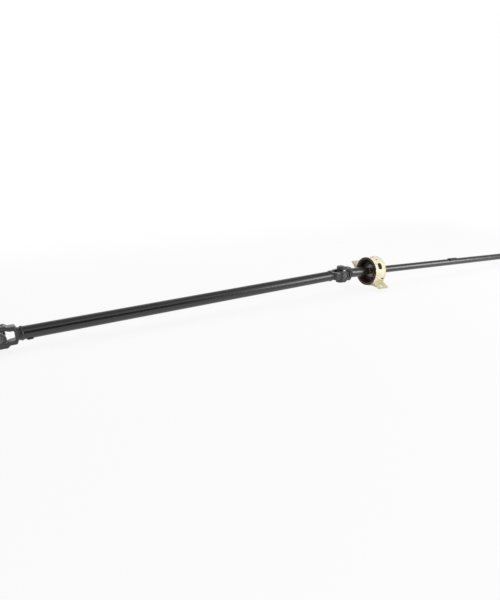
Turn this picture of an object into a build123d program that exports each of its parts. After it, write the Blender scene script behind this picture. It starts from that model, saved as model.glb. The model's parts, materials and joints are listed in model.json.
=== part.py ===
from build123d import *
import os
from math import asin, cos, pi, radians, sin, sqrt

# Two-piece propeller shaft with three universal joints and a centre support
# bearing, lying on its two end flanges. Millimetres. +X runs along the shaft
# from the rear flange to the front flange and +Z is up. Z = 0 is the surface
# it lies on, and X = 0 is halfway between the two ends.

# ---------------------------------------------------------------- whole shaft
rear_centres = 1144.5        # rear joint centre to centre joint centre
front_centres = 1060.0       # centre joint centre to front joint centre
centre_rise = 32.9           # centre joint above the two end joints, at rest

# ------------------------------------------------------------------ clearances
fit_gap = 0.02               # radial gap of pieces pressed or welded together
roller_gap = 0.05            # radial gap of rolling elements to their tracks
seal_gap = 0.10              # end gap of the small seals
spline_gap = 0.10            # gap of the sliding splines at root, flank and tip
seat_gap = 0.3               # gap of what passes close by without touching
overcut = 1.0                # how far a cutter runs past what it cuts, or a body into its neighbour

# ------------------------------------------------------- journal cross and cups
trunnion_radius = 6.5
trunnion_reach = 25.0        # cross centre to trunnion end
trunnion_chamfer = 0.8
cross_body_radius = 11.5
cross_shoulder_radius = 9.2
cross_shoulder_reach = 13.4
grease_gallery_radius = 1.4
needle_length = 8.2
needle_start = 16.6
cup_radius = 11.0
cup_wall = 1.7
cup_start = 16.0             # cross centre to the cup's open end
cup_end = 27.4               # cross centre to the cup's closed face
cup_bottom = 2.2
cup_corner = 0.8
snap_ring_thickness = 1.3
snap_ring_width = 2.6
snap_ring_opening = 9.0
snap_groove_depth = 0.7
trunnion_seal_radius = 9.6
nipple_shank_radius = 1.9
nipple_shank_depth = 4.0
nipple_hex_radius = 2.6
nipple_boss_radius = 3.0
nipple_height = 5.0
nipple_flats = 1.7           # height of the wrench flats
nipple_neck = 1.3
nipple_head = 1.5            # radius of the coupling head, and its distance from the tip
nipple_crown = 0.3

needle_track = cup_radius - cup_wall
needle_radius = (needle_track - trunnion_radius) / 2 - roller_gap
needle_circle = trunnion_radius + roller_gap + needle_radius
needles_per_cup = int(pi / asin(needle_radius / needle_circle))

# ----------------------------------------------------------------- forged yokes
ear_radius = 15.5
ear_inner = 16.6             # cross centre to the ear's inner face
ear_outer = 30.0             # cross centre to the ear's outer face
ear_chamfer = 1.0
ear_slope_start = 14.5       # where the boss falls away towards the arm
ear_slope_end = 21.0
arm_outer = 25.5             # half height over the arms
arm_half_width = 14.5
arm_corner_radius = 27.5     # corners of the arms are turned to this radius
throat_half_gap = 13.4
throat_narrows = 25.0
crotch_depth = 36.0          # cross centre to the bottom of the throat
crotch_round = 6.0           # how far ahead of the crotch the throat is straight
crotch_corner = 3.6
forging_round = 3.0
arm_end = 38.5
neck_start = 44.0
neck_step = 1.2              # tube radius to the neck's groove
weld_face = 49.0             # cross centre to the tube's end
weld_collar = 3.0
spigot_length = 14.0

# ----------------------------------------------------------------------- tubes
rear_tube_radius = 18.25
front_tube_radius = 13.75
tube_wall = 2.0
weld_bead_width = 7.0
weld_bead_height = 1.7

# ---------------------------------------------------------------- flange yokes
flange_radius = 43.0
flange_thickness = 8.0
flange_face = 36.0           # cross centre to the flange's face
flange_edge = 1.0
flange_arm_half_width = 14.0
flange_throat_half_gap = 14.5
flange_bolt_circle = 68.0
flange_bolt_hole = 8.5
flange_bolts = 4
pilot_radius = 21.0
pilot_height = 2.0
pilot_recess_radius = 15.0
pilot_recess_depth = 4.0

# --------------- slip yoke and stub shaft, from the centre joint towards the front
sleeve_radius = 17.5
sleeve_start = 46.0
sleeve_end = 101.0
sleeve_edge = 1.0
plug_radius = 13.0
plug_thickness = 2.5
plug_seat = 44.0             # front face of the plug
spline_teeth = 16
spline_root = 11.0
spline_major = 12.4
spline_tooth_width = 2.3
spline_chamfer = 1.0
spline_runout = 2.0          # taper from the spline's root to the journal
sleeve_seal_depth = 8.0
sleeve_seal_radius = 15.0
sleeve_cap_thickness = 1.6
sleeve_cap_radius = 18.3
stub_start = 60.0
spline_stop = 138.0
journal_radius = 12.5
stub_collar_start = 173.8
stub_collar_radius = 15.5
stub_collar_length = 8.0
front_tube_start = 193.3

# ------------------------------------------------------------- support bearing
bearing_middle = 162.3
bearing_width = 12.0
bearing_outer_radius = 23.5
ball_circle_radius = 18.0
ball_radius = 3.25
ball_count = 10
race_land = 1.9              # ball circle to each race's land
cage_half_width = 4.2
cage_half_thickness = 0.8
bearing_seal_thickness = 1.0
bearing_seal_inset = 0.3
slinger_radius = 20.7
slinger_thickness = 1.4
slinger_hub = 1.6            # thickness of the slinger's hub round the journal
slinger_hub_length = 4.0
slinger_lip = 1.6
carrier_wall = 1.5
carrier_start = 153.3
carrier_end = 171.3
carrier_lip = 2.4

# -------------------------------------------------------------- centre support
band_middle = 154.3
band_length = 50.0
band_radius = 54.0
band_thickness = 2.0
band_bead = 1.4
shell_thickness = 2.0
shell_inset = 1.0            # shell's rim behind the band's edge
shell_lip = 2.5
rubber_wall = 6.5
rubber_hub_wall = 3.4
rubber_web_start = 161.3
rubber_web = 7.0
rubber_draft = 1.0           # slope of the two grooves' walls, over their depth
rubber_rear_round = 4.0
rubber_front_round = 1.0
bracket_turn = 25.5          # bracket's near foot hangs this far below level
window_angle = 55.5
window_length = 24.5
window_width = 17.5
window_offset = -1.5
window_corner = 6.0
top_hole = 6.0
side_hole_length = 10.0
side_hole_width = 8.0
side_hole_offset = 15.0
foot_drop = 16.0             # shaft centre line down to the foot's upper face
foot_thickness = 3.0
foot_reach = 91.0
foot_length = 54.0
foot_offset = 2.0            # foot's middle ahead of the band's middle
foot_hole_reach = 74.0
foot_hole = 13.0
foot_corner = 8.0
foot_leg_thickness = 2.5
foot_leg_rise = 8.0          # how far the leg stands up from the plate, square to it
foot_leg_end = 38.0          # angle below level at which the leg ends
gusset_thickness = 2.5
gusset_reach = 78.0
gusset_knee_reach = 58.0
gusset_knee_drop = 27.0

# ------------------------------------------------------------- balance weights
rear_weight_start = 63.5     # from the rear joint's centre
rear_weight_length = 15.0
rear_weight_turn = 180.0
front_weight_start = 611.3   # from the centre joint's centre
front_weight_length = 50.0
front_weight_turn = 20.0
weight_thickness = 3.0
weight_half_angle = 38.0

# ------------------------------------------------------------------ main places
rear_slope = asin(centre_rise / rear_centres)
front_slope = asin(centre_rise / front_centres)
along_rear = Vector(cos(rear_slope), 0, sin(rear_slope))
along_front = Vector(cos(front_slope), 0, -sin(front_slope))
level = Vector(1, 0, 0)
across = Vector(0, 1, 0)
up_rear = along_rear.cross(across)
up_front = along_front.cross(across)

joint_span = rear_centres * cos(rear_slope) + front_centres * cos(front_slope)
overall_length = joint_span + 2 * (flange_face + pilot_height)
rear_joint = Vector(-joint_span / 2, 0, flange_radius)
centre_joint = rear_joint + along_rear * rear_centres
front_joint = centre_joint + along_front * front_centres

os.makedirs("parts", exist_ok=True)


def write(builder, name):
    """Label a finished piece and write it to its own file."""
    builder.part.label = name
    export_step(builder.part, f"parts/{name}.step")


def lengthwise(origin, along, ears):
    """Plane through a shaft: local x along it, local y along the ears or up."""
    return Plane(origin=origin, x_dir=along, z_dir=along.cross(ears))


def axis_of(plane):
    """A lengthwise plane's local x, about which its profiles are turned."""
    return Axis(plane.origin, plane.x_dir)


def band_profile(plane, start, end, inner, outer):
    """Rectangle between two places along a plane's axis and two radii from it."""
    with BuildSketch(plane) as profile:
        with Locations(((start + end) / 2, (inner + outer) / 2)):
            Rectangle(end - start, outer - inner)
    return profile.sketch


def turned(plane, outline):
    """Solid turned about a lengthwise plane's axis from an outline of (place, radius)."""
    with BuildPart() as piece:
        with BuildSketch(plane):
            with BuildLine():
                Polyline(*outline, close=True)
            make_face()
        revolve(axis=axis_of(plane))
    return piece


# ======================================================================== yokes
def fork(plane, crotch, half_gap, half_width, limit, end):
    """Forged fork: two eared arms that meet at the bottom of a throat.

    The plane's local x runs from the cross centre to the fork's base, and its
    local y along the bore of the ears. The limit is the outline of places and
    radii to which the arms' corners and the neck are turned.
    """
    plan = Plane(origin=plane.origin, x_dir=plane.x_dir, z_dir=plane.y_dir)
    with BuildPart() as forging:
        with BuildSketch(plane):
            with BuildLine():
                throat = FilletPolyline(
                    (crotch, 0),
                    (crotch, half_gap),
                    (min(throat_narrows, crotch - crotch_round), half_gap),
                    (ear_radius, ear_inner),
                    (-ear_radius, ear_inner),
                    radius=(crotch_corner, forging_round, forging_round),
                )
                Polyline(
                    throat @ 1,
                    (-ear_radius, ear_outer),
                    (ear_slope_start, ear_outer),
                    (ear_slope_end, arm_outer),
                    (end, arm_outer),
                    (end, 0),
                    throat @ 0,
                )
            make_face()
            mirror(about=Plane.XZ)
        extrude(amount=ear_radius, both=True)
        with BuildSketch(plan):
            Circle(ear_radius)
            with BuildLine():
                Polyline(
                    (0, -arm_half_width),
                    (ear_radius, -arm_half_width),
                    (crotch, -half_width),
                    (end, -half_width),
                    (end, half_width),
                    (crotch, half_width),
                    (ear_radius, arm_half_width),
                    (0, arm_half_width),
                    close=True,
                )
            make_face()
        extrude(amount=ear_outer, both=True, mode=Mode.INTERSECT)
        with BuildSketch(plane):
            with BuildLine():
                Polyline(
                    (-ear_radius, 0),
                    (-ear_radius, ear_outer + ear_radius),
                    *limit,
                    (end, 0),
                    close=True,
                )
            make_face()
        revolve(axis=axis_of(plane), mode=Mode.INTERSECT)
    return forging


def ear_bores(plane):
    """Everything machined out of a pair of ears: bores, ring grooves, outer chamfers."""
    bore = lengthwise(plane.origin, plane.y_dir, plane.x_dir)
    bore_radius = cup_radius + fit_gap
    groove_radius = cup_radius + snap_groove_depth
    groove_start = cup_end + fit_gap
    groove_end = groove_start + snap_ring_thickness + fit_gap
    with BuildPart() as machining:
        with BuildSketch(bore):
            with BuildLine():
                Polyline(
                    (ear_inner - overcut, 0),
                    (ear_inner - overcut, bore_radius),
                    (groove_start, bore_radius),
                    (groove_start, groove_radius),
                    (groove_end, groove_radius),
                    (groove_end, bore_radius),
                    (ear_outer - cup_corner, bore_radius),
                    (ear_outer + overcut, bore_radius + cup_corner + overcut),
                    (ear_outer + overcut, 0),
                    close=True,
                )
            make_face()
            with BuildLine():
                Polyline(
                    (ear_outer - ear_chamfer, ear_radius),
                    (ear_outer, ear_radius - ear_chamfer),
                    (ear_outer + overcut, ear_radius - ear_chamfer),
                    (ear_outer + overcut, ear_radius + overcut),
                    (ear_outer - ear_chamfer, ear_radius + overcut),
                    close=True,
                )
            make_face()
        revolve(axis=axis_of(bore))
        mirror(about=Plane(origin=plane.origin, z_dir=plane.y_dir))
    return machining


def weld_yoke(plane, tube_radius):
    """Weld yoke: fork, grooved round neck and the spigot that enters the tube."""
    neck_radius = tube_radius - neck_step
    limit = (
        (ear_slope_start, ear_outer + ear_radius),
        (ear_slope_end, arm_corner_radius),
        (arm_end, arm_corner_radius),
        (neck_start, neck_radius),
        (weld_face, neck_radius),
    )
    with BuildPart() as yoke:
        add(fork(plane, crotch_depth, throat_half_gap, arm_half_width, limit, weld_face).part)
        revolve(
            band_profile(plane, weld_face - weld_collar, weld_face, 0, tube_radius),
            axis=axis_of(plane),
        )
        revolve(
            band_profile(
                plane, weld_face - overcut, weld_face + spigot_length,
                0, tube_radius - tube_wall - fit_gap,
            ),
            axis=axis_of(plane),
        )
        add(ear_bores(plane).part, mode=Mode.SUBTRACT)
    return yoke


def flange_yoke(plane):
    """Flange yoke: two ears that stand on a round bolted flange with a pilot."""
    flange_back = flange_face - flange_thickness
    recess_floor = flange_face + pilot_height - pilot_recess_depth
    bolt_plane = Plane(origin=plane.origin, x_dir=plane.y_dir, z_dir=plane.x_dir)
    fork_end = flange_face - overcut
    limit = ((fork_end, ear_outer + ear_radius),)
    with BuildPart() as yoke:
        add(
            fork(
                plane, flange_back, flange_throat_half_gap, flange_arm_half_width, limit, fork_end
            ).part
        )
        add(
            turned(
                plane,
                (
                    (flange_back, 0),
                    (flange_back, flange_radius - flange_edge),
                    (flange_back + flange_edge, flange_radius),
                    (flange_face - flange_edge, flange_radius),
                    (flange_face, flange_radius - flange_edge),
                    (flange_face, pilot_radius),
                    (flange_face + pilot_height, pilot_radius),
                    (flange_face + pilot_height, pilot_recess_radius),
                    (recess_floor, pilot_recess_radius - flange_edge),
                    (recess_floor, 0),
                ),
            ).part
        )
        with BuildSketch(bolt_plane.offset(flange_back - overcut)):
            with PolarLocations(flange_bolt_circle / 2, flange_bolts, start_angle=180 / flange_bolts):
                Circle(flange_bolt_hole / 2)
        extrude(amount=flange_thickness + 2 * overcut, mode=Mode.SUBTRACT)
        add(ear_bores(plane).part, mode=Mode.SUBTRACT)
    return yoke


# ================================================ what each yoke carries in its ears
def write_ear_set(plane, name):
    """Bearing cups, snap rings and trunnion seals of one yoke."""
    bore = lengthwise(plane.origin, plane.y_dir, plane.x_dir)
    other_side = Plane(origin=plane.origin, z_dir=plane.y_dir)
    with BuildPart() as cups:
        with BuildSketch(bore):
            with BuildLine():
                Polyline(
                    (cup_start, needle_track),
                    (cup_start, cup_radius - cup_corner),
                    (cup_start + cup_corner, cup_radius),
                    (cup_end - cup_corner, cup_radius),
                    (cup_end, cup_radius - cup_corner),
                    (cup_end, 0),
                    (cup_end - cup_bottom, 0),
                    (cup_end - cup_bottom, needle_track),
                    close=True,
                )
            make_face()
        revolve(axis=axis_of(bore))
        mirror(about=other_side)
    write(cups, f"{name}_bearing_cups")

    ring_radius = cup_radius + snap_groove_depth - fit_gap
    ring_seat = Plane(origin=plane.origin, x_dir=plane.x_dir, z_dir=plane.y_dir)
    with BuildPart() as snap_rings:
        with BuildSketch(ring_seat.offset(cup_end + 2 * fit_gap)):
            Circle(ring_radius)
            Circle(ring_radius - snap_ring_width, mode=Mode.SUBTRACT)
            with Locations((ring_radius, 0)):
                Rectangle(3 * snap_ring_width, snap_ring_opening, mode=Mode.SUBTRACT)
        extrude(amount=snap_ring_thickness - fit_gap)
        mirror(about=other_side)
    write(snap_rings, f"{name}_snap_rings")

    with BuildPart() as seals:
        revolve(
            band_profile(
                bore, cross_shoulder_reach + seal_gap, cup_start - seal_gap,
                trunnion_radius + roller_gap, trunnion_seal_radius,
            ),
            axis=axis_of(bore),
        )
        mirror(about=other_side)
    write(seals, f"{name}_trunnion_seals")


# =============================================================== journal crosses
def write_cross_set(origin, along, name):
    """Cross, needle rollers and grease nipple, with one trunnion upright and one level."""
    cross_plane = Plane(origin=origin, x_dir=along, z_dir=across * -1)
    trunnion_ways = (cross_plane.y_dir, cross_plane.z_dir)
    nipple_way = (cross_plane.y_dir + cross_plane.z_dir).normalized()
    nipple_line = lengthwise(origin, nipple_way, along)
    nipple_seat = cross_shoulder_radius * sqrt(2) + nipple_hex_radius
    nipple_face = nipple_seat + fit_gap
    nipple_tip = nipple_face + nipple_height
    shank_inner = nipple_face - nipple_shank_depth
    with BuildPart() as cross:
        with Locations(cross_plane):
            Sphere(cross_body_radius)
        for way in trunnion_ways:
            line = lengthwise(origin, way, along)
            for end in (1, -1):
                with BuildSketch(line):
                    with BuildLine():
                        Polyline(
                            (0, 0),
                            (0, cross_shoulder_radius),
                            (end * cross_shoulder_reach, cross_shoulder_radius),
                            (end * cross_shoulder_reach, trunnion_radius),
                            (end * (trunnion_reach - trunnion_chamfer), trunnion_radius),
                            (end * trunnion_reach, trunnion_radius - trunnion_chamfer),
                            (end * trunnion_reach, 0),
                            close=True,
                        )
                    make_face()
                revolve(axis=axis_of(line))
        revolve(
            band_profile(nipple_line, 0, nipple_seat, 0, nipple_boss_radius),
            axis=axis_of(nipple_line),
        )
        for way in trunnion_ways:
            line = lengthwise(origin, way, along)
            revolve(
                band_profile(
                    line, -trunnion_reach - overcut, trunnion_reach + overcut, 0, grease_gallery_radius
                ),
                axis=axis_of(line),
                mode=Mode.SUBTRACT,
            )
        revolve(
            band_profile(
                nipple_line, shank_inner - overcut, nipple_face + overcut,
                0, nipple_shank_radius + fit_gap,
            ),
            axis=axis_of(nipple_line),
            mode=Mode.SUBTRACT,
        )
    write(cross, f"{name}_cross")

    with BuildPart() as needles:
        for way in trunnion_ways:
            for end in (1, -1):
                end_on = Plane(origin=origin, x_dir=along, z_dir=way * end)
                with BuildSketch(end_on.offset(needle_start)):
                    with PolarLocations(needle_circle, needles_per_cup):
                        Circle(needle_radius)
                extrude(amount=needle_length)
    write(needles, f"{name}_needle_rollers")

    nipple = turned(
        nipple_line,
        (
            (shank_inner, 0),
            (shank_inner, nipple_shank_radius),
            (nipple_face, nipple_shank_radius),
            (nipple_face, nipple_hex_radius),
            (nipple_face + nipple_flats, nipple_hex_radius),
            (nipple_face + nipple_flats, nipple_neck),
            (nipple_tip - 2 * nipple_head, nipple_neck),
            (nipple_tip - nipple_head, nipple_head),
            (nipple_tip - nipple_crown, nipple_neck),
            (nipple_tip, 0),
        ),
    )
    write(nipple, f"{name}_grease_nipple")


# ======================================================================== tubes
def shaft_tube(plane, start, end, radius):
    """Seam-welded tube with a raised weld bead at each end."""
    with BuildPart() as tube:
        with BuildSketch(plane):
            with BuildLine():
                first_bead = ThreePointArc(
                    (start, radius),
                    (start + weld_bead_width / 2, radius + weld_bead_height),
                    (start + weld_bead_width, radius),
                )
                last_bead = ThreePointArc(
                    (end - weld_bead_width, radius),
                    (end - weld_bead_width / 2, radius + weld_bead_height),
                    (end, radius),
                )
                Line(first_bead @ 1, last_bead @ 0)
                Polyline(
                    last_bead @ 1,
                    (end, radius - tube_wall),
                    (start, radius - tube_wall),
                    first_bead @ 0,
                )
            make_face()
        revolve(axis=axis_of(plane))
    return tube


def balance_weight(origin, along, start, length, radius, turn):
    """Curved plate that hugs a tube over part of its girth, turned from the tube's top."""
    outwards = along.cross(across) * cos(radians(turn)) - across * sin(radians(turn))
    end_on = Plane(origin=origin + along * start, x_dir=outwards, z_dir=along)
    weight_inner = radius + fit_gap
    reach = 3 * (radius + weight_thickness)
    side = radians(weight_half_angle)
    with BuildPart() as weight:
        with BuildSketch(end_on):
            Circle(weight_inner + weight_thickness)
            Circle(weight_inner, mode=Mode.SUBTRACT)
            with BuildLine():
                Polyline(
                    (0, 0),
                    (reach * cos(side), -reach * sin(side)),
                    (reach * cos(side), reach * sin(side)),
                    close=True,
                )
            make_face(mode=Mode.INTERSECT)
        extrude(amount=length)
    return weight


# ======================================================= the three joints in place
# The end joints' weld yokes and the slip yoke have upright ears. Those of the
# flange yokes and of the centre joint's weld yoke lie level.
rear_weld_plane = lengthwise(rear_joint, along_rear, up_rear)
centre_weld_plane = lengthwise(centre_joint, along_rear * -1, across)
front_weld_plane = lengthwise(front_joint, along_front * -1, up_front)
rear_flange_plane = lengthwise(rear_joint, level * -1, across)
front_flange_plane = lengthwise(front_joint, level, across)
slip_plane = lengthwise(centre_joint, along_front, up_front)

write(flange_yoke(rear_flange_plane), "rear_flange_yoke")
write(weld_yoke(rear_weld_plane, rear_tube_radius), "rear_weld_yoke")
write(weld_yoke(centre_weld_plane, rear_tube_radius), "centre_weld_yoke")
write(weld_yoke(front_weld_plane, front_tube_radius), "front_weld_yoke")
write(flange_yoke(front_flange_plane), "front_flange_yoke")

for ear_plane, yoke_name in (
    (rear_flange_plane, "rear_flange_yoke"),
    (rear_weld_plane, "rear_weld_yoke"),
    (centre_weld_plane, "centre_weld_yoke"),
    (slip_plane, "slip_yoke"),
    (front_weld_plane, "front_weld_yoke"),
    (front_flange_plane, "front_flange_yoke"),
):
    write_ear_set(ear_plane, yoke_name)

write_cross_set(rear_joint, along_rear, "rear_joint")
write_cross_set(centre_joint, along_front, "centre_joint")
write_cross_set(front_joint, along_front, "front_joint")

rear_line = lengthwise(rear_joint, along_rear, up_rear)
front_line = lengthwise(centre_joint, along_front, up_front)
front_axis = axis_of(front_line)
front_end_on = Plane(origin=centre_joint, x_dir=across * -1, z_dir=along_front)

write(shaft_tube(rear_line, weld_face, rear_centres - weld_face, rear_tube_radius), "rear_tube")
write(
    shaft_tube(front_line, front_tube_start, front_centres - weld_face, front_tube_radius),
    "front_tube",
)
for weight_name, weight_origin, weight_along, weight_start, weight_length, radius, weight_turn in (
    (
        "rear_balance_weight", rear_joint, along_rear, rear_weight_start, rear_weight_length,
        rear_tube_radius, rear_weight_turn,
    ),
    (
        "front_balance_weight", centre_joint, along_front, front_weight_start, front_weight_length,
        front_tube_radius, front_weight_turn,
    ),
):
    write(
        balance_weight(weight_origin, weight_along, weight_start, weight_length, radius, weight_turn),
        weight_name,
    )


# ==================================================== slip yoke and its closures
def spline_section(plane, root, major, tooth_width):
    """Round core with straight-sided teeth, on a plane square to the shaft."""
    with BuildSketch(plane) as section:
        with PolarLocations((root + major) / 2, spline_teeth):
            Rectangle(major - root + 2 * overcut, tooth_width)
        Circle(major, mode=Mode.INTERSECT)
        Circle(root)
    return section.sketch


slip_limit = (
    (ear_slope_start, ear_outer + ear_radius),
    (ear_slope_end, arm_corner_radius),
    (arm_end, arm_corner_radius),
    (sleeve_start, sleeve_radius),
)
with BuildPart() as slip_yoke:
    add(
        fork(
            slip_plane, crotch_depth, throat_half_gap, arm_half_width, slip_limit, sleeve_start
        ).part
    )
    revolve(band_profile(front_line, neck_start, sleeve_end, 0, sleeve_radius), axis=front_axis)
    chamfer(
        slip_yoke.edges().filter_by(GeomType.CIRCLE).sort_by(front_axis)[-1], sleeve_edge
    )
    revolve(
        band_profile(front_line, crotch_depth - crotch_corner, plug_seat, 0, plug_radius),
        axis=front_axis, mode=Mode.SUBTRACT,
    )
    extrude(
        spline_section(
            front_end_on.offset(plug_seat - overcut),
            spline_root + spline_gap, spline_major + spline_gap, spline_tooth_width + 2 * spline_gap,
        ),
        amount=sleeve_end - plug_seat + 2 * overcut, mode=Mode.SUBTRACT,
    )
    revolve(
        band_profile(
            front_line, sleeve_end - sleeve_seal_depth, sleeve_end + overcut, 0, sleeve_seal_radius
        ),
        axis=front_axis, mode=Mode.SUBTRACT,
    )
    add(ear_bores(slip_plane).part, mode=Mode.SUBTRACT)
write(slip_yoke, "slip_yoke")

with BuildPart() as slip_yoke_plug:
    revolve(
        band_profile(
            front_line, plug_seat - fit_gap - plug_thickness, plug_seat - fit_gap,
            0, plug_radius - fit_gap,
        ),
        axis=front_axis,
    )
write(slip_yoke_plug, "slip_yoke_plug")

cap_start = sleeve_end + fit_gap
slip_yoke_seal = turned(
    front_line,
    (
        (sleeve_end - sleeve_seal_depth + fit_gap, spline_major + spline_gap),
        (sleeve_end - sleeve_seal_depth + fit_gap, sleeve_seal_radius - fit_gap),
        (cap_start, sleeve_seal_radius - fit_gap),
        (cap_start, sleeve_cap_radius),
        (cap_start + sleeve_cap_thickness, sleeve_cap_radius),
        (cap_start + sleeve_cap_thickness, spline_major + spline_gap),
    ),
)
write(slip_yoke_seal, "slip_yoke_seal")

# =================================================================== stub shaft
journal = journal_radius - fit_gap
front_spigot = front_tube_radius - tube_wall - fit_gap
collar_end = stub_collar_start + stub_collar_length
with BuildPart() as stub_shaft:
    extrude(
        spline_section(front_end_on.offset(stub_start), spline_root, spline_major, spline_tooth_width),
        amount=spline_stop - stub_start,
    )
    with BuildSketch(front_line):
        with BuildLine():
            Polyline(
                (stub_start - overcut, 0),
                (stub_start - overcut, spline_major - spline_chamfer - overcut),
                (stub_start + overcut, spline_major - spline_chamfer + overcut),
                (spline_stop + overcut, spline_major - spline_chamfer + overcut),
                (spline_stop + overcut, 0),
                close=True,
            )
        make_face()
    revolve(axis=front_axis, mode=Mode.INTERSECT)
    with BuildSketch(front_line):
        with BuildLine():
            Polyline(
                (spline_stop - overcut, 0),
                (spline_stop - overcut, spline_root),
                (spline_stop, spline_root),
                (spline_stop + spline_runout, journal),
                (stub_collar_start, journal),
                (stub_collar_start, stub_collar_radius),
                (collar_end, stub_collar_radius),
                (front_tube_start, front_tube_radius),
                (front_tube_start, front_spigot),
                (front_tube_start + spigot_length, front_spigot),
                (front_tube_start + spigot_length, 0),
                close=True,
            )
        make_face()
    revolve(axis=front_axis)
write(stub_shaft, "stub_shaft")

# ============================================================== support bearing
bearing_start = bearing_middle - bearing_width / 2
bearing_end = bearing_middle + bearing_width / 2
inner_land = ball_circle_radius - race_land
outer_land = ball_circle_radius + race_land
track_radius = ball_radius + roller_gap
bearing_end_on = front_end_on.offset(bearing_middle)

for race_name, race_inner, race_outer in (
    ("bearing_inner_race", journal_radius, inner_land),
    ("bearing_outer_race", outer_land, bearing_outer_radius),
):
    with BuildPart() as race:
        revolve(
            band_profile(front_line, bearing_start, bearing_end, race_inner, race_outer),
            axis=front_axis,
        )
        with BuildSketch(front_line):
            with Locations((bearing_middle, ball_circle_radius)):
                Circle(track_radius)
        revolve(axis=front_axis, mode=Mode.SUBTRACT)
    write(race, race_name)

with BuildPart() as balls:
    with Locations(bearing_end_on):
        with PolarLocations(ball_circle_radius, ball_count):
            Sphere(ball_radius)
write(balls, "bearing_balls")

with BuildPart() as cage:
    revolve(
        band_profile(
            front_line, bearing_middle - cage_half_width, bearing_middle + cage_half_width,
            ball_circle_radius - cage_half_thickness, ball_circle_radius + cage_half_thickness,
        ),
        axis=front_axis,
    )
    for ball in range(ball_count):
        angle = 2 * pi * ball / ball_count
        outwards = bearing_end_on.x_dir * cos(angle) + bearing_end_on.y_dir * sin(angle)
        pocket = Plane(origin=bearing_end_on.origin, x_dir=along_front, z_dir=outwards)
        with BuildSketch(pocket.offset(inner_land)):
            Circle(track_radius)
        extrude(amount=outer_land - inner_land, mode=Mode.SUBTRACT)
write(cage, "bearing_cage")

for seal_name, seal_start in (
    ("bearing_seal_rear", bearing_start + bearing_seal_inset),
    ("bearing_seal_front", bearing_end - bearing_seal_inset - bearing_seal_thickness),
):
    with BuildPart() as bearing_seal:
        revolve(
            band_profile(
                front_line, seal_start, seal_start + bearing_seal_thickness,
                inner_land + roller_gap, outer_land - fit_gap,
            ),
            axis=front_axis,
        )
    write(bearing_seal, seal_name)

# A slinger is a cupped disc pressed on the stub shaft, its lip turned away from the bearing.
for slinger_name, hub_start, way in (
    ("dust_slinger_rear", bearing_start - fit_gap, -1),
    ("dust_slinger_front", bearing_end + fit_gap, 1),
):
    disc_start = hub_start + way * (slinger_hub_length - slinger_thickness)
    disc_end = hub_start + way * slinger_hub_length
    slinger = turned(
        front_line,
        (
            (hub_start, journal_radius),
            (hub_start, journal_radius + slinger_hub),
            (disc_start, journal_radius + slinger_hub),
            (disc_start, slinger_radius),
            (disc_end + way * slinger_lip, slinger_radius),
            (disc_end + way * slinger_lip, slinger_radius - slinger_thickness),
            (disc_end, slinger_radius - slinger_thickness),
            (disc_end, journal_radius),
        ),
    )
    write(slinger, slinger_name)

# =============================================================== centre support
carrier_inner = bearing_outer_radius + fit_gap
carrier_outer = carrier_inner + carrier_wall
ring_start = bearing_end + fit_gap
groove_depth = carrier_wall / 2
with BuildPart() as carrier:
    revolve(
        band_profile(front_line, carrier_start, carrier_end, carrier_inner, carrier_outer),
        axis=front_axis,
    )
    revolve(
        band_profile(
            front_line, bearing_start - fit_gap - carrier_lip, bearing_start - fit_gap,
            slinger_radius + seat_gap, carrier_outer,
        ),
        axis=front_axis,
    )
    revolve(
        band_profile(
            front_line, ring_start - fit_gap, ring_start + snap_ring_thickness,
            carrier_inner - overcut, carrier_inner + groove_depth,
        ),
        axis=front_axis, mode=Mode.SUBTRACT,
    )
write(carrier, "bearing_carrier")

carrier_ring_radius = carrier_inner + groove_depth - fit_gap
with BuildPart() as carrier_snap_ring:
    with BuildSketch(front_end_on.offset(ring_start)):
        Circle(carrier_ring_radius)
        Circle(slinger_radius + seat_gap, mode=Mode.SUBTRACT)
        with Locations((0, carrier_ring_radius)):
            Rectangle(snap_ring_opening, 3 * snap_ring_width, mode=Mode.SUBTRACT)
    extrude(amount=snap_ring_thickness - fit_gap)
write(carrier_snap_ring, "carrier_snap_ring")

band_start = band_middle - band_length / 2
band_end = band_middle + band_length / 2
shell_outer = band_radius - band_thickness - fit_gap
shell_inner = shell_outer - shell_thickness
shell_start = band_start + shell_inset
shell_end = band_end - shell_inset
lip_inner = shell_inner - shell_lip
cushion_shell = turned(
    front_line,
    (
        (shell_start, lip_inner),
        (shell_start, shell_outer),
        (shell_end, shell_outer),
        (shell_end, lip_inner),
        (shell_end - shell_thickness, lip_inner),
        (shell_end - shell_thickness, shell_inner),
        (shell_start + shell_thickness, shell_inner),
        (shell_start + shell_thickness, lip_inner),
    ),
)
write(cushion_shell, "cushion_shell")

rubber_start = shell_start + shell_thickness + fit_gap
rubber_end = shell_end - shell_thickness - fit_gap
rubber_outer = shell_inner - fit_gap
rubber_sleeve = rubber_outer - rubber_wall
rubber_inner = carrier_outer + fit_gap
rubber_hub = rubber_inner + rubber_hub_wall
rubber_hub_start = carrier_start + seat_gap
web_front = rubber_web_start + rubber_web
with BuildPart() as rubber_cushion:
    with BuildSketch(front_line):
        with BuildLine():
            rear_groove = FilletPolyline(
                (rubber_start, rubber_sleeve),
                (rubber_web_start, rubber_sleeve - rubber_draft),
                (rubber_web_start, rubber_hub + rubber_draft),
                (rubber_hub_start, rubber_hub),
                radius=rubber_rear_round,
            )
            front_groove = FilletPolyline(
                (carrier_end, rubber_hub),
                (web_front, rubber_hub + rubber_draft),
                (web_front, rubber_sleeve - rubber_draft),
                (rubber_end, rubber_sleeve),
                radius=rubber_front_round,
            )
            Polyline(
                rear_groove @ 1,
                (rubber_hub_start, rubber_inner),
                (carrier_end, rubber_inner),
                front_groove @ 0,
            )
            Polyline(
                front_groove @ 1,
                (rubber_end, rubber_outer),
                (rubber_start, rubber_outer),
                rear_groove @ 0,
            )
        make_face()
    revolve(axis=front_axis)
write(rubber_cushion, "rubber_cushion")

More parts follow.
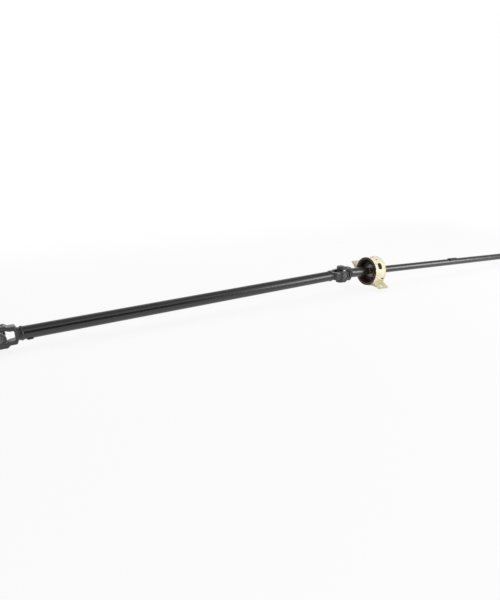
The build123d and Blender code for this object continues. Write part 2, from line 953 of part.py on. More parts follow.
# The bracket is turned on the bearing. Seen from the rear, its own u points to the
# near foot and its own w up; w stands bracket_turn from the shaft's own up.
turn = radians(bracket_turn)
near_way = across * -cos(turn) - up_front * sin(turn)
bracket_up = up_front * cos(turn) - across * sin(turn)
bracket_centre = centre_joint + along_front * band_middle
foot_centre = bracket_centre + along_front * foot_offset


def around_band(angle):
    """Plane square to the band's radius at an angle up from its near foot; local x along it."""
    outwards = near_way * cos(radians(angle)) + bracket_up * sin(radians(angle))
    return Plane(origin=bracket_centre, x_dir=along_front, z_dir=outwards)


with BuildPart() as bracket_band:
    revolve(
        band_profile(front_line, band_start, band_end, band_radius - band_thickness, band_radius),
        axis=front_axis,
    )
    with BuildSketch(front_line):
        with Locations((band_end - band_bead, band_radius)):
            Circle(band_bead)
        with Locations((band_end - band_bead, band_radius - 2 * band_bead)):
            Rectangle(4 * band_bead, 4 * band_bead, mode=Mode.SUBTRACT)
    revolve(axis=front_axis)
    for angle in (window_angle, 180 - window_angle):
        with BuildSketch(around_band(angle).offset(band_radius / 2)):
            with Locations((window_offset, 0)):
                RectangleRounded(window_width, window_length, window_corner)
        extrude(amount=band_radius, mode=Mode.SUBTRACT)
    with BuildSketch(around_band(90).offset(band_radius / 2)):
        Circle(top_hole / 2)
    extrude(amount=band_radius, mode=Mode.SUBTRACT)
    for angle in (0, 180):
        with BuildSketch(around_band(angle).offset(band_radius / 2)):
            with Locations((side_hole_offset, 0)):
                SlotOverall(side_hole_length, side_hole_width)
        extrude(amount=band_radius, mode=Mode.SUBTRACT)
write(bracket_band, "bracket_band")


def mounting_foot(side):
    """Pressed foot: bolted plate, leg against the band and a gusset web at each end.

    The section's local x points away from the shaft and its local y up. What is
    drawn inside the band's radius is cut away last.
    """
    seat_radius = band_radius + fit_gap
    leg_radius = seat_radius + foot_leg_thickness
    underside = -foot_drop - foot_thickness
    way = near_way * side
    section = Plane(origin=foot_centre, x_dir=way, z_dir=way.cross(bracket_up))
    upwards = 1 if section.z_dir.dot(along_front) > 0 else -1
    first_end = section.offset(-upwards * foot_length / 2)
    leg_end = -radians(foot_leg_end)
    leg_face = sqrt(leg_radius**2 - foot_drop**2)
    with BuildPart() as foot:
        with BuildSketch(first_end):
            Circle(leg_radius)
            with BuildLine():
                Polyline(
                    (0, -foot_drop),
                    (2 * leg_radius, -foot_drop),
                    (2 * leg_radius * cos(leg_end), 2 * leg_radius * sin(leg_end)),
                    close=True,
                )
            make_face(mode=Mode.INTERSECT)
            with BuildLine():
                Polyline(
                    (0, -foot_drop),
                    (0, foot_leg_rise - foot_drop),
                    (leg_face, foot_leg_rise - foot_drop),
                    (leg_face, -foot_drop),
                    (foot_reach, -foot_drop),
                    (foot_reach, underside),
                    (0, underside),
                    close=True,
                )
            make_face()
        extrude(amount=upwards * foot_length)
        for offset in (0, foot_length - gusset_thickness):
            with BuildSketch(first_end.offset(upwards * offset)):
                with BuildLine():
                    Polyline(
                        (0, underside + overcut),
                        (gusset_reach, underside + overcut),
                        (gusset_reach, underside),
                        (gusset_knee_reach, -gusset_knee_drop),
                        (leg_radius * cos(leg_end), leg_radius * sin(leg_end)),
                        close=True,
                    )
                make_face()
            extrude(amount=upwards * gusset_thickness)
        with BuildSketch(first_end.offset(-upwards * overcut)):
            Circle(seat_radius)
        extrude(amount=upwards * (foot_length + 2 * overcut), mode=Mode.SUBTRACT)
        revolve(
            band_profile(
                front_line, band_end - 2 * band_bead - fit_gap, band_end + fit_gap,
                band_radius / 2, band_radius + band_bead + fit_gap,
            ),
            axis=front_axis, mode=Mode.SUBTRACT,
        )
        with BuildSketch(Plane(origin=foot_centre, x_dir=way, z_dir=bracket_up)):
            with Locations((foot_hole_reach, 0)):
                Circle(foot_hole / 2)
        extrude(amount=underside * 2, mode=Mode.SUBTRACT)
        outer_corners = foot.edges().filter_by(Axis((0, 0, 0), bracket_up)).sort_by(
            Axis(foot_centre, way)
        )[-2:]
        fillet(outer_corners, foot_corner)
    return foot


write(mounting_foot(1), "mounting_foot_near")
write(mounting_foot(-1), "mounting_foot_far")

print("overall length", overall_length, "centre joint", centre_joint)
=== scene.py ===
import json
import math

import bpy
import numpy as np
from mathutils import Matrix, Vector


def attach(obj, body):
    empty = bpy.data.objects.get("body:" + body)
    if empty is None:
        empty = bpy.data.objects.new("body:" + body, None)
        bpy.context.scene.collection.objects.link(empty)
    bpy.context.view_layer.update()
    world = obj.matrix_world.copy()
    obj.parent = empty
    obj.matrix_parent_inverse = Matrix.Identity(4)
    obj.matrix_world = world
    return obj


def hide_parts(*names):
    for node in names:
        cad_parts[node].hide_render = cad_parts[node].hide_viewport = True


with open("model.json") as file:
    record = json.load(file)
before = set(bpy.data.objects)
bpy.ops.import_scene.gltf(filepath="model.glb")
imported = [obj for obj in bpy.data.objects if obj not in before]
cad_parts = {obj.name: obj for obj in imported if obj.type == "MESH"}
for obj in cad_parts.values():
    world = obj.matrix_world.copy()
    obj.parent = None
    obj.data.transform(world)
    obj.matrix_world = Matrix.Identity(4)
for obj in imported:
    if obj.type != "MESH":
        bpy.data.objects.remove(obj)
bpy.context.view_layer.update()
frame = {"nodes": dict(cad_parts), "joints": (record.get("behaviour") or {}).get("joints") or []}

# --------------------------------------------------------------------- studio
# A white floor that the flanges lie on, a wide softbox overhead and one in front.
# A dark wall and a grey ceiling that show only in reflections model the black
# paint. The shaft runs away from the camera, up and to the right.
joints = {joint["name"]: joint for joint in frame["joints"]}
rear_centre = np.array(joints["rear_level_pivot"]["pos_m"])
middle_centre = np.array(joints["centre_level_pivot"]["pos_m"])
front_centre = np.array(joints["front_level_pivot"]["pos_m"])

camera_from_joint = (-1.1666, -1.3246, 0.40465)
camera_pitch = 16.28
camera_heading = 30.33
camera_lens = 28.5
long_sensor_side = 36.0

camera_data = bpy.data.cameras.new("camera")
camera_data.lens = camera_lens
camera_data.sensor_width = long_sensor_side
camera_data.clip_start = 0.02
camera_data.clip_end = 60.0
camera = bpy.data.objects.new("camera", camera_data)
camera.location = Vector(middle_centre) + Vector(camera_from_joint)
camera.rotation_euler = (
    math.radians(90 - camera_pitch), 0, math.radians(-camera_heading),
)
bpy.context.scene.collection.objects.link(camera)
bpy.context.scene.camera = camera
bpy.context.scene.view_settings.view_transform = "Standard"


def softbox(name, place, aim, width, height, watts, mirrored=True):
    """Rectangular lamp at a place, turned to a point, that shows in reflections or doesn't."""
    lamp = bpy.data.lights.new(name, "AREA")
    lamp.shape = "RECTANGLE"
    lamp.size = width
    lamp.size_y = height
    lamp.energy = watts
    holder = bpy.data.objects.new(name, lamp)
    holder.location = place
    holder.visible_glossy = mirrored
    holder.rotation_euler = (Vector(aim) - Vector(place)).to_track_quat("-Z", "Y").to_euler()
    bpy.context.scene.collection.objects.link(holder)


softbox(
    "overhead_softbox", place=(0.0, 0.3, 1.9), aim=(0.0, 0.1, 0.0),
    width=4.0, height=3.0, watts=30, mirrored=False,
)
softbox(
    "front_softbox", place=(1.65, -1.54, 0.62), aim=(0.3, 0.0, 0.07),
    width=1.9, height=1.0, watts=35,
)


class Wire:
    """A shader socket that can be used in arithmetic: each operator adds its Math node."""

    def __init__(self, finish, socket):
        self.finish = finish
        self.socket = socket

    def math(self, operation, *values):
        return self.finish.math(operation, *values)

    def __add__(self, other):
        return self.math("ADD", self, other)

    def __radd__(self, other):
        return self.math("ADD", other, self)

    def __sub__(self, other):
        return self.math("SUBTRACT", self, other)

    def __rsub__(self, other):
        return self.math("SUBTRACT", other, self)

    def __mul__(self, other):
        return self.math("MULTIPLY", self, other)

    def __rmul__(self, other):
        return self.math("MULTIPLY", other, self)

    def above(self, low, high):
        """0 below low, 1 above high and smooth between; high below low turns it round."""
        ramp = {"interpolation_type": "SMOOTHSTEP"}
        return self.finish.node("MapRange", ramp, self, low, high, 0.0, 1.0)

    def either(self, other):
        return self.math("MAXIMUM", self, other)


class Finish:
    """A material or world under construction, with its nodes made by one method."""

    def __init__(self, owner):
        owner.use_nodes = True
        self.owner = owner
        self.tree = owner.node_tree
        self.tree.nodes.clear()

    def fill(self, socket, value):
        """Links a wire to a socket, or sets the socket's own value."""
        if isinstance(value, Wire):
            self.tree.links.new(value.socket, socket)
        else:
            socket.default_value = value

    def node(self, kind, settings={}, *values, out=0, **named):
        """Adds a node, sets its settings, fills its sockets in order or by name.

        None leaves a socket as it is. Returns the chosen output, if the node has any.
        """
        made = self.tree.nodes.new("ShaderNode" + kind)
        for setting, value in settings.items():
            setattr(made, setting, value)
        for socket, value in zip(made.inputs, values):
            if value is not None:
                self.fill(socket, value)
        for name, value in named.items():
            self.fill(made.inputs[name.replace("_", " ")], value)
        return Wire(self, made.outputs[out]) if made.outputs else None

    def math(self, operation, *values):
        return self.node("Math", {"operation": operation}, *values)

    def place(self):
        """Position on the piece in metres, in the frame that all pieces share."""
        return self.node("TexCoord", out="Object")

    def stretched(self, stretch):
        """Position with each axis divided by a stretch, so that a pattern runs along it."""
        shrink = [1 / s for s in stretch]
        return self.node("VectorMath", {"operation": "MULTIPLY"}, self.place(), shrink)

    def noise(self, size, detail=4.0, roughness=0.55, stretch=(1, 1, 1)):
        """Cloudy pattern from 0 to 1 whose patches are about size metres across."""
        return self.node(
            "TexNoise", {}, Vector=self.stretched(stretch), Scale=1 / size,
            Detail=detail, Roughness=roughness,
        )

    def mix(self, amount, first, second):
        """Colour between two colours; the node's number and vector sockets are passed over."""
        unused = (None,) * 5
        return self.node("Mix", {"data_type": "RGBA"}, amount, *unused, first, second, out=2)

    def along(self, direction):
        """Distance in metres along a direction, from the frame's origin."""
        dot = {"operation": "DOT_PRODUCT"}
        return self.node("VectorMath", dot, self.place(), tuple(direction), out="Value")

    def from_line(self, origin, direction):
        """Distance in metres from a line: the length of (place - origin) x direction."""
        offset = self.node("VectorMath", {"operation": "SUBTRACT"}, self.place(), tuple(origin))
        crossed = self.node("VectorMath", {"operation": "CROSS_PRODUCT"}, offset, tuple(direction))
        return self.node("VectorMath", {"operation": "LENGTH"}, crossed, out="Value")

    def tool_marks(self, distance, pitch):
        """Fine uneven grooves across a distance, as a lathe or grinder leaves them."""
        return self.node(
            "TexNoise", {"noise_dimensions": "1D"}, W=distance * (1 / pitch),
            Detail=3.0, Roughness=0.7,
        )

    def bump(self, height, distance, strength):
        """Normal from a height pattern whose full swing is distance metres."""
        return self.node("Bump", {}, Strength=strength, Distance=distance, Height=height)

    def surface(self, colour, roughness, normal, metallic, shine=0.5):
        """Principled surface wired to the output; shine is its specular level."""
        shader = self.node(
            "BsdfPrincipled", {}, Base_Color=colour, Roughness=roughness, Metallic=metallic,
            Normal=normal, Specular_IOR_Level=shine,
        )
        self.node("OutputMaterial", {}, Surface=shader)
        return self.owner


floor_half = 14.0
floor_colour = (0.90, 0.90, 0.895, 1)
shadow_share = 0.12
clear_of_sides = (0.4, 2.0)
clear_of_ends = (1.3, 2.6)
floor_mesh = bpy.data.meshes.new("floor")
floor_mesh.from_pydata(
    [(x * floor_half, y * floor_half, 0.0) for x, y in ((-1, -1), (1, -1), (1, 1), (-1, 1))],
    [], [(0, 1, 2, 3)],
)
floor = bpy.data.objects.new("floor", floor_mesh)
bpy.context.scene.collection.objects.link(floor)


def seen_directly(finish):
    """1 where a ray comes from the camera or from a mirror-like surface, else 0."""
    camera_ray = finish.node("LightPath", out="Is Camera Ray")
    glossy_ray = finish.node("LightPath", out="Is Glossy Ray")
    through_ray = finish.node("LightPath", out="Is Transmission Ray")
    return camera_ray.either(glossy_ray).either(through_ray)


paper = Finish(bpy.data.materials.new("studio_paper"))
paper_lit = paper.node("BsdfDiffuse", {}, floor_colour)
paper_white = paper.node("Emission", {}, (1, 1, 1, 1), 1.0)
away_from_shaft = paper.from_line((0, 0, 0), (1, 0, 0)).above(*clear_of_sides)
beyond_its_ends = paper.math("ABSOLUTE", paper.along((1, 0, 0))).above(*clear_of_ends)
no_shadow = away_from_shaft.either(beyond_its_ends)
paper_share = seen_directly(paper) * ((1 - shadow_share) + shadow_share * no_shadow)
paper_mix = paper.node("MixShader", {}, paper_share, paper_lit, paper_white)
paper.node("OutputMaterial", {}, Surface=paper_mix)
floor_mesh.materials.append(paper.owner)

card_half = 6.0
wall_place = -2.1
wall_height = 1.5
wall_glow = 0.03
ceiling_from = -1.1
ceiling_to = 1.7
ceiling_height = 2.1
ceiling_glow = 0.42
sky_colour = (0.86, 0.88, 0.90, 1)
sky_strength = 0.35


def reflected_card(name, edges, glow):
    """Card seen only in reflections, between two edges given as (y, z), of an even glow."""
    mesh = bpy.data.meshes.new(name)
    mesh.from_pydata(
        [(side * card_half, y, z) for y, z in edges for side in (-1, 1)], [], [(0, 1, 3, 2)],
    )
    card = bpy.data.objects.new(name, mesh)
    card.visible_camera = False
    card.visible_diffuse = False
    card.visible_shadow = False
    bpy.context.scene.collection.objects.link(card)
    shade = Finish(bpy.data.materials.new(name + "_shade"))
    light = shade.node("Emission", {}, (glow, glow, glow, 1), 1.0)
    shade.node("OutputMaterial", {}, Surface=light)
    mesh.materials.append(shade.owner)


wall_edges = ((wall_place, 0.0), (wall_place, wall_height))
ceiling_edges = ((ceiling_from, ceiling_height), (ceiling_to, ceiling_height))
reflected_card("dark_wall", wall_edges, wall_glow)
reflected_card("grey_ceiling", ceiling_edges, ceiling_glow)

sky = Finish(bpy.data.worlds.new("studio_air"))
sky_lit = sky.node("Background", {}, sky_colour, sky_strength)
sky_white = sky.node("Background", {}, (1, 1, 1, 1), 1.0)
sky_mix = sky.node("MixShader", {}, seen_directly(sky), sky_lit, sky_white)
sky.node("OutputWorld", {}, Surface=sky_mix)
bpy.context.scene.world = sky.owner

# ------------------------------------------------------------- the shaft tubes
# Drawn steel tubes, one thick and one thin, painted satin black after welding.
# A machine-laid bead joins each end to its yoke or stub, rippled as it was laid.
mm = 0.001
black_paint = (0.011, 0.011, 0.012, 1)
worn_paint = (0.040, 0.040, 0.042, 1)
dust_on_paint = (0.105, 0.102, 0.098, 1)
paint_shine = 0.74
nodes = frame["nodes"]
across = np.array((0.0, 1.0, 0.0))
level = np.array((1.0, 0.0, 0.0))
along_rear = (middle_centre - rear_centre) / np.linalg.norm(middle_centre - rear_centre)
along_front = (front_centre - middle_centre) / np.linalg.norm(front_centre - middle_centre)
tube_wall = 2.0 * mm
bead_width = 7.0 * mm
bead_height = 1.7 * mm
bead_rows = 21
bead_foot = 0.4 * mm
ripple_pitch = 1.7 * mm
ripple_depth = 0.10 * mm
tube_rows = 40
columns_per_mm = 24


def mesh_points(mesh):
    """Corner positions of a mesh as an array."""
    points = np.empty(len(mesh.vertices) * 3)
    mesh.vertices.foreach_get("co", points)
    return points.reshape(-1, 3)


def measured(node, origin, along):
    """First and last place of a CAD node along a line, and its least and greatest radius."""
    offset = mesh_points(nodes[node].data) - origin
    place = offset @ along
    radius = np.linalg.norm(offset - place[:, None] * along, axis=1)
    return place.min(), place.max(), radius.min(), radius.max()


def signed_volume(points, quads):
    """Six times the volume inside a closed mesh, negative if its faces point inwards."""
    corners = points.reshape(-1, 3)[quads]
    first = np.einsum("ij,ij->i", corners[:, 0], np.cross(corners[:, 1], corners[:, 2]))
    second = np.einsum("ij,ij->i", corners[:, 0], np.cross(corners[:, 2], corners[:, 3]))
    return (first + second).sum()


def ring_from_grid(name, points, body):
    """Closed mesh whose vertices are a grid of points, joined end to end both ways."""
    rows, columns = points.shape[:2]
    index = np.arange(rows * columns).reshape(rows, columns)
    below = np.roll(index, -1, 0)
    beside = np.roll(index, -1, 1)
    quads = np.stack((index, beside, np.roll(below, -1, 1), below), -1).reshape(-1, 4)
    mesh = bpy.data.meshes.new(name)
    mesh.from_pydata(points.reshape(-1, 3), [], quads)
    made = bpy.data.objects.new(name, mesh)
    bpy.context.scene.collection.objects.link(made)
    if signed_volume(points, quads) < 0:
        mesh.flip_normals()
    mesh.polygons.foreach_set("use_smooth", np.ones(len(quads), bool))
    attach(made, body)
    return made


def lathe(name, outline, origin, along, body, columns=160, shape=None):
    """Closed outline of (place, radius) turned about a shaft's line.

    A point is origin + place * along + radius * (up * cos(angle) + across * sin(angle)).
    The shape function may change the places and radii by the angle.
    """
    up = np.cross(along, across)
    place, radius = np.asarray(outline, float).T[:, :, None]
    angle = np.linspace(0, 2 * np.pi, columns, endpoint=False)[None, :]
    if shape is not None:
        place, radius = shape(place, radius, angle)
    place, radius, angle = np.broadcast_arrays(place, radius, angle)
    points = (
        origin + place[..., None] * along
        + (radius * np.cos(angle))[..., None] * up
        + (radius * np.sin(angle))[..., None] * across
    )
    return ring_from_grid(name, points, body)


def bead_outline(start, radius):
    """Half-round arch over a weld: height * sqrt(1 - t * t) for t from -1 to 1."""
    t = np.sin(np.linspace(-np.pi / 2, np.pi / 2, bead_rows))
    place = start + (t + 1) * bead_width / 2
    return np.stack((place, radius + bead_height * np.sqrt(1 - t * t)), -1)


def rippled(radius, beads):
    """Shape function: crescent ripples round each bead, fading out at its edges.

    height = depth * (1 - t * t) * (sin(count * angle + bow) + a slow drift round the
    tube), for t from -1 to 1 across the bead; the bow makes each ripple a crescent.
    """
    count = round(2 * np.pi * radius / ripple_pitch)

    def shape(place, turned_radius, angle):
        for middle in beads:
            t = np.clip((place - middle) / (bead_width / 2), -1, 1)
            bow = 2.2 * (1 - t * t) + 0.9 * np.sin(3 * angle)
            crest = np.sin(count * angle + bow)
            drift = 0.3 * np.sin(5 * angle + middle * 90) + 0.2 * np.sin(11 * angle)
            on_outside = turned_radius > radius - tube_wall / 2
            height = (1 - t * t) * ripple_depth * (crest + drift)
            turned_radius = turned_radius + on_outside * height
        return place, turned_radius

    return shape


def painted_tube(name, node, origin, along, body):
    """A tube with a rippled bead at both ends, in place of its CAD node."""
    start, end, inside, _ = measured(node, origin, along)
    radius = inside + tube_wall
    beyond_bead = bead_width + bead_foot
    between = np.linspace(start + beyond_bead, end - beyond_bead, tube_rows)
    outline = np.concatenate((
        bead_outline(start, radius),
        np.stack((between, np.full_like(between, radius)), -1),
        bead_outline(end - bead_width, radius),
        [(end, inside), (start, inside)],
    ))
    beads = (start + bead_width / 2, end - bead_width / 2)
    columns = columns_per_mm * round(radius / mm)
    tube = lathe(name, outline, origin, along, body, columns, rippled(radius, beads))
    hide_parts(node)
    tube.data.materials.append(tube_paint)


def facing_up(finish):
    """How far the surface faces up: 1 on top, 0 on the sides and -1 below."""
    return finish.node("SeparateXYZ", {}, finish.node("NewGeometry", out="Normal"), out="Z")


def black_finish(name, roughness, orange_peel, streak):
    """Satin black paint: fine orange peel, long handling marks and a little dust on top."""
    finish = Finish(bpy.data.materials.new(name))
    cloud = finish.noise(60 * mm, 3, stretch=(4, 1, 1))
    marks = finish.noise(2.2 * mm, 5, 0.65, stretch=(streak, 1, 1))
    peel = finish.noise(orange_peel, 3, 0.5)
    fine = finish.noise(0.35 * mm, 2, 0.6)
    dust = facing_up(finish).above(0.55, 1.0) * cloud.above(0.42, 0.70) * 0.16
    scuffs = marks.above(0.60, 0.74) * 0.55
    colour = finish.mix(scuffs, black_paint, worn_paint)
    colour = finish.mix(dust, colour, dust_on_paint)
    gloss = roughness + cloud * 0.06 + scuffs * 0.12 + dust * 0.5
    skin = finish.bump(peel * 0.8 + fine * 0.2, 0.05 * mm, 0.55)
    return finish.surface(colour, gloss, skin, 0.0, paint_shine)


tube_paint = black_finish("tube_paint", roughness=0.22, orange_peel=1.6 * mm, streak=14)
painted_tube("painted_rear_tube", "rear_tube", rear_centre, along_rear, "rear_shaft")
painted_tube("painted_front_tube", "front_tube", middle_centre, along_front, "front_shaft")

# ----------------------------------------------------------- the balance weights
# Curved steel plates spot-welded to the tubes where the balancing machine says.
# They are painted with the tubes.


def coat(material, *names):
    """Gives CAD nodes a finish in place of their plain one."""
    for name in names:
        for place in nodes[name].material_slots:
            place.material = material


weight_paint = black_finish("weight_paint", roughness=0.38, orange_peel=1.2 * mm, streak=3)
coat(weight_paint, "rear_balance_weight", "front_balance_weight")

# ------------------------------------------------------------------- the forgings
# Drop-forged steel yokes with rounded edges and a trimmed flash line round them.
# The ears' faces, the sleeve and the flanges are machined, and all is painted.
forging_voxel = 0.85 * mm
forging_passes = 5
flash_width = 0.8 * mm
flash_height = 0.28 * mm
sleeve_radius = 17.5 * mm
flange_radius = 43.0 * mm
ear_height = 30.0 * mm
forging_black = (0.015, 0.015, 0.016, 1)
forging_brown = (0.030, 0.029, 0.028, 1)
forging_rubbed = (0.15, 0.147, 0.143, 1)
# Paler grey for faces that look up: a painted highlight in place of the overhead light they catch.
forging_top_highlight = (0.17, 0.168, 0.164, 1)
flash_from = 15.5 * mm
flash_to = 42 * mm
flash_fade = 4 * mm
flash_clear_of_ears = 22 * mm
flange_back = 28 * mm
flange_front = 36 * mm
pilot_end = 38 * mm
neck_end = 45 * mm
sleeve_from = 47 * mm
sleeve_to = 100 * mm
full_wear = 0.05 * mm
join_distance = 0.001 * mm
beside_axis = 0.01 * mm


def rounded_copy(name, node, body, voxel, passes):
    """A copy of a CAD node with its edges rounded: joined, remeshed in voxels and smoothed."""
    made = bpy.data.objects.new(name, nodes[node].data.copy())
    bpy.context.scene.collection.objects.link(made)
    made.data.materials.clear()
    weld = made.modifiers.new("join", "WELD")
    weld.merge_threshold = join_distance
    remesh = made.modifiers.new("skin", "REMESH")
    remesh.mode = "VOXEL"
    remesh.voxel_size = voxel
    smooth = made.modifiers.new("round", "SMOOTH")
    smooth.factor = 0.5
    smooth.iterations = passes
    graph = bpy.context.evaluated_depsgraph_get()
    final = bpy.data.meshes.new_from_object(made.evaluated_get(graph))
    made.modifiers.clear()
    made.data = final
    final.polygons.foreach_set("use_smooth", np.ones(len(final.polygons), bool))
    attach(made, body)
    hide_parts(node)
    return made


def set_points(made, points):
    """Moves the corners of a mesh to an array of places."""
    made.data.vertices.foreach_set("co", points.ravel())
    made.data.update()


def trued(points, origin, along, radii, faces, reach=0.7 * mm):
    """Machined surfaces made true again: corners near a radius or a face are put on it.

    Each radius comes with the start and end of its stretch along the axis.
    """
    offset = points - origin
    place = offset @ along
    side = offset - place[:, None] * along
    radius = np.linalg.norm(side, axis=1)
    true_radius = radius.copy()
    for start, end, wanted in radii:
        close = (place > start) & (place < end) & (np.abs(radius - wanted) < reach)
        true_radius[close] = wanted
    true_place = place.copy()
    for wanted in faces:
        true_place[np.abs(place - wanted) < reach / 2] = wanted
    side *= (true_radius / np.maximum(radius, beside_axis))[:, None]
    return origin + side + true_place[:, None] * along


def mark_wear(made):
    """Stores how far each corner stands out from the mean of its neighbours, from 0 to 1."""
    mesh = made.data
    points = mesh_points(mesh)
    normals = np.empty(len(points) * 3)
    mesh.vertex_normals.foreach_get("vector", normals)
    edges = np.empty(len(mesh.edges) * 2, int)
    mesh.edges.foreach_get("vertices", edges)
    near, far = edges.reshape(-1, 2).T
    total = np.zeros_like(points)
    count = np.zeros(len(points))
    for first, second in ((near, far), (far, near)):
        np.add.at(total, first, points[second])
        np.add.at(count, first, 1)
    raised = np.einsum("ij,ij->i", points - total / count[:, None], normals.reshape(-1, 3))
    wear = mesh.attributes.new("wear", "FLOAT", "POINT")
    wear.data.foreach_set("value", np.clip(raised / full_wear, 0, 1))


def forged(node, body, centre, away, ears, paint, radii, faces):
    """A forging in place of its CAD node: edges rounded, machined faces true, flash raised.

    The flash lies in the plane of the two ears' middles, between ears and neck:
    height * exp(-(distance / width) ** 2).
    """
    made = rounded_copy("forged_" + node, node, body, forging_voxel, forging_passes)
    points = mesh_points(made.data)
    normals = np.empty(len(points) * 3)
    made.data.vertex_normals.foreach_get("vector", normals)
    local = points - centre
    out, wide, high = (local @ way for way in (away, np.cross(away, ears), ears))
    beyond_ears = np.clip((out - flash_from) / flash_fade, 0, 1)
    before_neck = np.clip((flash_to - out) / flash_fade, 0, 1)
    on_arms = np.hypot(wide, high) > flash_clear_of_ears
    flash = flash_height * np.exp(-(wide / flash_width) ** 2)
    flash = flash * beyond_ears * before_neck * on_arms
    points += normals.reshape(-1, 3) * flash[:, None]
    points = trued(points, centre, away, radii, faces)
    points = trued(points, centre, ears, (), (ear_height, -ear_height))
    set_points(made, points)
    mark_wear(made)
    made.data.materials.append(paint)


def forging_finish(name, turned_from):
    """Black paint over scaled forging: pits, soft lumps and grey rubbed edges, with faces that
    look up painted paler as a painted highlight.

    Beyond a distance along the front shaft the surface is turned, so it is smooth and shines.
    """
    finish = Finish(bpy.data.materials.new(name))
    turned = finish.along(along_front).above(turned_from, turned_from + 3 * mm)
    lumps = finish.noise(5 * mm, 4, 0.6)
    pits = finish.noise(1.1 * mm, 5, 0.7)
    dirt = finish.noise(18 * mm, 3)
    worn = finish.node("Attribute", {"attribute_name": "wear"}, out="Fac")
    rubbed = worn.above(0.35, 1.0) * pits.above(0.40, 0.64) * dirt.above(0.36, 0.62) * 0.7
    # Painted highlight: faces that look up are made paler, as if lit by the overhead lamp, less so
    # on the turned sleeve.
    painted_top_light = facing_up(finish).above(0.70, 1.0) * (1 - turned) * (0.5 + dirt * 0.5)
    colour = finish.mix(dirt.above(0.4, 0.7), forging_black, forging_brown)
    colour = finish.mix(rubbed, colour, forging_rubbed)
    colour = finish.mix(painted_top_light, colour, forging_top_highlight)
    gloss = 0.24 + dirt * 0.08 + pits * 0.07 - turned * 0.07
    skin = finish.bump((lumps * 0.6 + pits * 0.4) * (1 - turned * 0.93), 0.28 * mm, 0.6)
    return finish.surface(colour, gloss, skin, rubbed * 0.7, paint_shine)


beyond_the_shaft = 2.0
forging_paint = forging_finish("forging_paint", beyond_the_shaft)
slip_yoke_paint = forging_finish("slip_yoke_paint", middle_centre @ along_front + neck_end)
up_rear = np.cross(along_rear, across)
up_front = np.cross(along_front, across)
unturned = (forging_paint, (), ())
flange_turned = (
    forging_paint, ((flange_back, flange_front, flange_radius),),
    (flange_back, flange_front, pilot_end),
)
sleeve_turned = (slip_yoke_paint, ((sleeve_from, sleeve_to, sleeve_radius),), ())
for node, body, centre, away, ears, turned in (
    ("rear_flange_yoke", "rear_flange", rear_centre, -level, across, flange_turned),
    ("rear_weld_yoke", "rear_shaft", rear_centre, along_rear, up_rear, unturned),
    ("centre_weld_yoke", "rear_shaft", middle_centre, -along_rear, across, unturned),
    ("front_weld_yoke", "front_shaft", front_centre, -along_front, up_front, unturned),
    ("front_flange_yoke", "front_flange", front_centre, level, across, flange_turned),
    ("slip_yoke", "slip_assembly", middle_centre, along_front, up_front, sleeve_turned),
):
    forged(node, body, centre, away, ears, *turned)

# ---------------------------------------------------- bearing cups and their rings
# Drawn steel cups pressed into the ears, each kept in by a spring ring.
# Both were painted over with the shaft, and the paint is worn off in patches.
yokes = (
    "rear_flange_yoke", "rear_weld_yoke", "centre_weld_yoke",
    "slip_yoke", "front_weld_yoke", "front_flange_yoke",
)
cup_black = (0.036, 0.036, 0.038, 1)
cup_grey = (0.075, 0.073, 0.071, 1)
bare_steel = (0.24, 0.24, 0.245, 1)
# Pale grey for faces that look up: a painted highlight in place of the overhead light on the cup
# ends.
cup_top_highlight = (0.52, 0.515, 0.505, 1)


def patchy_paint(name, patch, bare, roughness):
    """Black paint over steel, worn through in patches of a size and share; faces that look up are
    painted pale as a painted highlight.
    """
    finish = Finish(bpy.data.materials.new(name))
    broad = finish.noise(patch, 5, 0.62)
    grain = finish.noise(0.5 * mm, 3, 0.6)
    through = (broad * 0.8 + grain * 0.2).above(0.58 - bare, 0.66 - bare)
    # Painted highlight: faces that look up are made pale, as if catching the overhead light.
    painted_top_light = facing_up(finish).above(0.75, 1.0) * (0.6 + grain * 0.4)
    colour = finish.mix(broad.above(0.35, 0.65), cup_black, cup_grey)
    colour = finish.mix(through, colour, bare_steel)
    colour = finish.mix(painted_top_light, colour, cup_top_highlight)
    gloss = roughness + grain * 0.12 - through * 0.08
    skin = finish.bump(broad * 0.5 - through * 0.5 + grain * 0.2, 0.10 * mm, 0.6)
    return finish.surface(colour, gloss, skin, through * 0.6, paint_shine)


cup_paint = patchy_paint("cup_paint", patch=3.5 * mm, bare=0.07, roughness=0.36)
ring_paint = patchy_paint("spring_ring_paint", patch=2.0 * mm, bare=0.02, roughness=0.32)
coat(cup_paint, *(yoke + "_bearing_cups" for yoke in yokes))
coat(ring_paint, *(yoke + "_snap_rings" for yoke in yokes))

# ------------------------------------------------------------------ rubber seals
# Lipped rings of black moulded rubber at the foot of each trunnion, which keep the
# grease in the cups. They are smeared with it, so they shine in patches.


def rubber_finish(name, colour, bloom, roughness, moulding=0.12 * mm):
    """Moulded rubber: a base colour, a paler bloom in clouds and a fine matt grain."""
    finish = Finish(bpy.data.materials.new(name))
    cloud = finish.noise(14 * mm, 4, 0.6)
    grain = finish.noise(0.45 * mm, 3, 0.6)
    shade = finish.mix(cloud.above(0.42, 0.72) * 0.7, colour, bloom)
    gloss = roughness + cloud * 0.18
    skin = finish.bump(grain * 0.6 + cloud * 0.4, moulding, 0.5)
    return finish.surface(shade, gloss, skin, 0.0)


seal_rubber = rubber_finish(
    "seal_rubber", colour=(0.020, 0.020, 0.021, 1), bloom=(0.045, 0.043, 0.042, 1),
    roughness=0.34,
)
coat(seal_rubber, *(yoke + "_trunnion_seals" for yoke in yokes))

# ------------------------------------------------------------- the journal crosses
# Forged crosses with ground trunnions, left bare between the ears, each with its
# needle rollers and a zinc-plated grease nipple in the crook of two arms.
cross_voxel = 0.5 * mm
cross_passes = 3
trunnion_radius = 6.5 * mm
seal_seat = 13.8 * mm
trunnion_chamfer = 24 * mm
trunnion_end = 25 * mm


